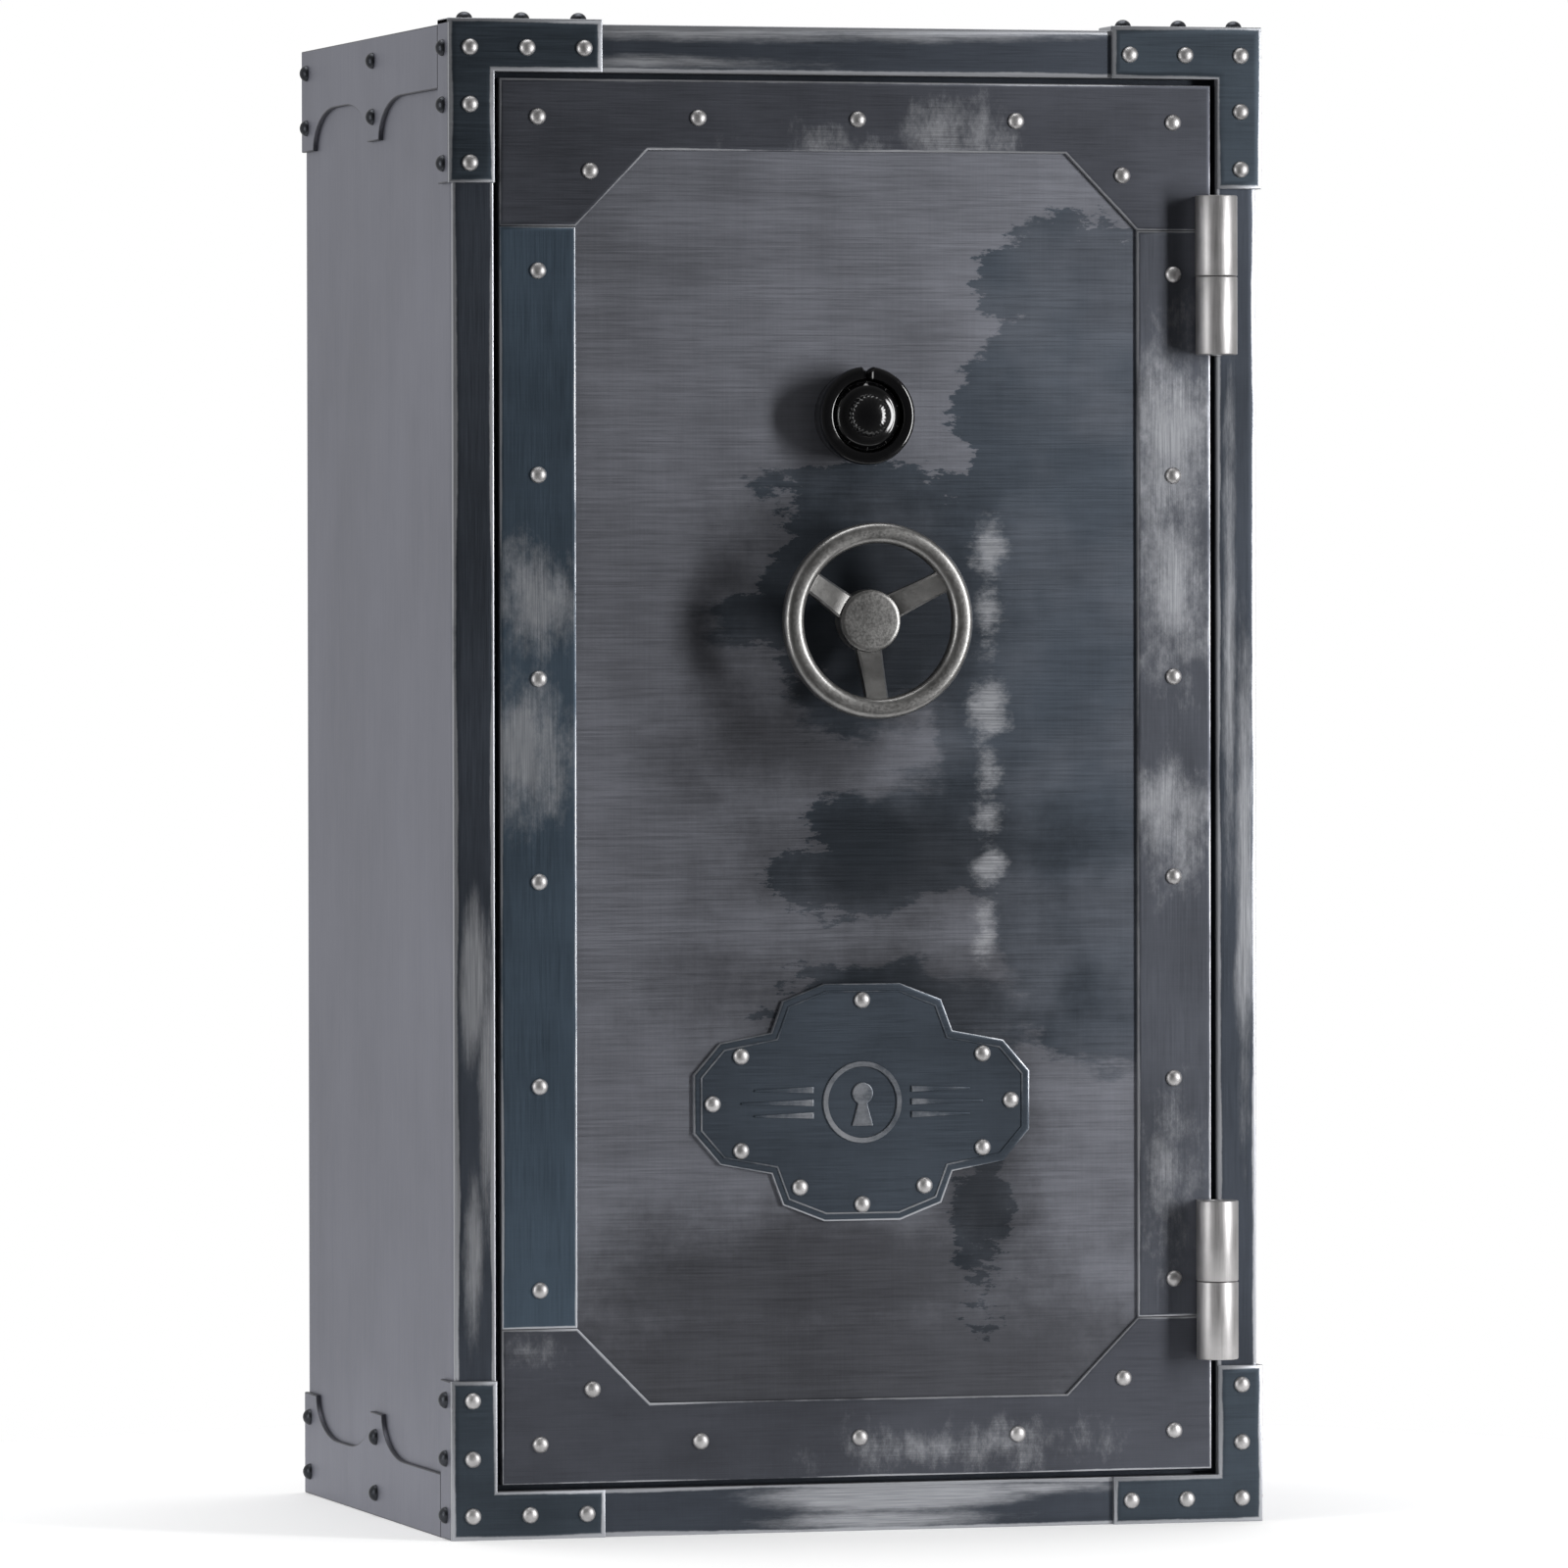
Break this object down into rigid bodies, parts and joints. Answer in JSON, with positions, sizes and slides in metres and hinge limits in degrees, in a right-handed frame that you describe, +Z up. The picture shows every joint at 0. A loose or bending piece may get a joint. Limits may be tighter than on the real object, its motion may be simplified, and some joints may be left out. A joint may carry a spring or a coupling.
{
  "type": "gun safe",
  "caption": "Upright riveted steel gun safe with a hinged plate door, combination dial, spoked handwheel, sliding locking bolts and a carpeted interior.",
  "frame": {"origin": "centre of the base on the floor, midway between the sides and between the front frame and the back", "axes": "+Z up, +X towards the hinge side, -Y towards the person who opens the door"},
  "size_m": [0.8716, 0.719, 1.5408],
  "materials": {
    "side_steel": "mid-grey brushed, clear coated",
    "frame_steel": "dark slate, worn bright along the edges",
    "door_steel": "hand-brushed grey with ragged slate patches",
    "overlay_steel": "dark slate with polished smears",
    "bare_steel": "brushed bare steel",
    "chromed_bolts": "bright chrome",
    "pewter": "satin pewter",
    "dial_black": "gloss black",
    "lock_zinc": "satin zinc plate",
    "brass": "satin brass",
    "carpet": "short grey pile",
    "fire_board": "matt gypsum board",
    "seal_rubber": "matt black"
  },
  "bodies": {
    "cabinet": {"side_left": "side_steel", "side_right": "side_steel", "top_plate": "side_steel", "base_plate": "side_steel", "back_plate": "side_steel", "side_strap_top_left": "side_steel", "side_strap_top_right": "side_steel", "side_strap_bottom_left": "side_steel", "side_strap_bottom_right": "side_steel", "frame_stile_left": "frame_steel", "frame_stile_right": "frame_steel", "frame_rail_top": "frame_steel", "frame_rail_bottom": "frame_steel", "door_jamb": "frame_steel", "corner_bracket_top_left": "frame_steel", "corner_bracket_top_right": "frame_steel", "corner_bracket_bottom_left": "frame_steel", "corner_bracket_bottom_right": "frame_steel", "hinge_upper_frame_knuckle": "bare_steel", "hinge_upper_pin": "bare_steel", "hinge_lower_frame_knuckle": "bare_steel", "hinge_lower_pin": "bare_steel", "liner_left": "carpet", "liner_right": "carpet", "liner_back": "carpet", "liner_top": "carpet", "liner_floor": "carpet", "top_shelf": "carpet", "divider": "carpet", "shelf_lower": "carpet", "shelf_upper": "carpet", "barrel_rest": "carpet", "door_seal": "seal_rubber"},
    "door": {"door_plate": "door_steel", "overlay_left": "overlay_steel", "overlay_right": "overlay_steel", "overlay_top": "overlay_steel", "overlay_bottom": "overlay_steel", "badge_plate": "overlay_steel", "hinge_upper_door_knuckle": "bare_steel", "hinge_lower_door_knuckle": "bare_steel", "door_fire_board": "fire_board", "hard_plate": "bare_steel", "bolt_frame": "frame_steel", "inner_panel": "carpet", "gear_bracket": "lock_zinc", "handle_collar": "pewter", "dial_ring": "dial_black", "lock_case": "lock_zinc", "lock_cover": "lock_zinc"},
    "handle": {"handle_wheel": "pewter", "drive_shaft": "bare_steel"},
    "dial": {"dial_knob": "dial_black", "dial_spindle": "brass", "lock_wheels": "brass"},
    "lock_bolt": {"lock_bolt": "brass"},
    "bolts_left": {"bolt_bar_left": "chromed_bolts"},
    "bolts_right": {"bolt_bar_right": "chromed_bolts"},
    "bolts_top": {"bolt_bar_top": "chromed_bolts"},
    "bolts_bottom": {"bolt_bar_bottom": "chromed_bolts"}
  },
  "joints": [
    {"name": "door_hinge", "type": "hinge", "parent": "cabinet", "child": "door", "pos_m": [0.3755, -0.342, 0.765], "axis": [0, 0, 1], "range_deg": [0, 180]},
    {"name": "handle_turn", "type": "hinge", "parent": "door", "child": "handle", "pos_m": [0, -0.365, 0.927], "axis": [0, -1, 0], "range_deg": [0, 86]},
    {"name": "left_bolts_slide", "type": "slide", "parent": "door", "child": "bolts_left", "axis": [-1, 0, 0], "range_m": [0, 0.0301]},
    {"name": "right_bolts_slide", "type": "slide", "parent": "door", "child": "bolts_right", "axis": [1, 0, 0], "range_m": [0, 0.0301]},
    {"name": "top_bolts_slide", "type": "slide", "parent": "door", "child": "bolts_top", "axis": [0, 0, 1], "range_m": [0, 0.0301]},
    {"name": "bottom_bolts_slide", "type": "slide", "parent": "door", "child": "bolts_bottom", "axis": [0, 0, -1], "range_m": [0, 0.0301]},
    {"name": "dial_turn", "type": "hinge", "parent": "door", "child": "dial", "pos_m": [0, -0.35, 1.135], "axis": [0, -1, 0], "continuous": true},
    {"name": "lock_bolt_slide", "type": "slide", "parent": "door", "child": "lock_bolt", "axis": [1, 0, 0], "range_m": [0, 0.01]}
  ],
  "couplings": [
    {"joint": "left_bolts_slide", "follows": "handle_turn", "m_per_rad": 0.02},
    {"joint": "right_bolts_slide", "follows": "handle_turn", "m_per_rad": 0.02},
    {"joint": "top_bolts_slide", "follows": "handle_turn", "m_per_rad": 0.02},
    {"joint": "bottom_bolts_slide", "follows": "handle_turn", "m_per_rad": 0.02}
  ]
}
